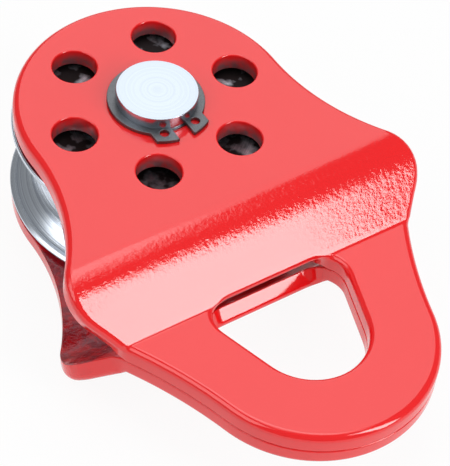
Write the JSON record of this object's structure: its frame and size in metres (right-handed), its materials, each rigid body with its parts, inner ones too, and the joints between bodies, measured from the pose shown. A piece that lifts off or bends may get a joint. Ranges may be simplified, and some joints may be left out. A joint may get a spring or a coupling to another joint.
{
  "type": "snatch block",
  "caption": "Swing-side snatch block: two joggled steel side plates on one pin, a grooved sheave between them, and a D-shaped shackle eye.",
  "frame": {"origin": "on the pin axis, in the plane halfway between the two side plates, which is the middle of the sheave", "axes": "+Z along the pin, out of the front side plate; -Y from the pin to the closed shackle eye; +X completes the right-handed frame"},
  "size_m": [0.1432, 0.2011, 0.0636],
  "materials": {
    "red_powder_coat": "glossy red powder coat on steel plate",
    "zinc_plated_sheave": "bright zinc plate over turned steel",
    "zinc_plated_pin": "bright zinc plate over turned steel",
    "phosphated_spring_steel": "dark phosphated spring steel",
    "bronze_bush": "machined bearing bronze",
    "zinc_plated_washer": "zinc plated stamped steel"
  },
  "bodies": {
    "rear_plate": {"rear_side_plate": "red_powder_coat"},
    "front_plate": {"front_side_plate": "red_powder_coat"},
    "axle": {"axle_pin": "zinc_plated_pin", "front_circlip": "phosphated_spring_steel", "rear_circlip": "phosphated_spring_steel", "front_thrust_washer": "zinc_plated_washer", "rear_thrust_washer": "zinc_plated_washer"},
    "rope_sheave": {"sheave": "zinc_plated_sheave", "sheave_bush": "bronze_bush"}
  },
  "joints": [
    {"name": "front_plate_swing", "type": "hinge", "parent": "rear_plate", "child": "front_plate", "pos_m": [0, 0, 0], "axis": [0, 0, 1], "continuous": true},
    {"name": "pin_turn", "type": "hinge", "parent": "rear_plate", "child": "axle", "pos_m": [0, 0, 0], "axis": [0, 0, 1], "continuous": true},
    {"name": "sheave_spin", "type": "hinge", "parent": "rear_plate", "child": "rope_sheave", "pos_m": [0, 0, 0], "axis": [0, 0, 1], "continuous": true}
  ]
}
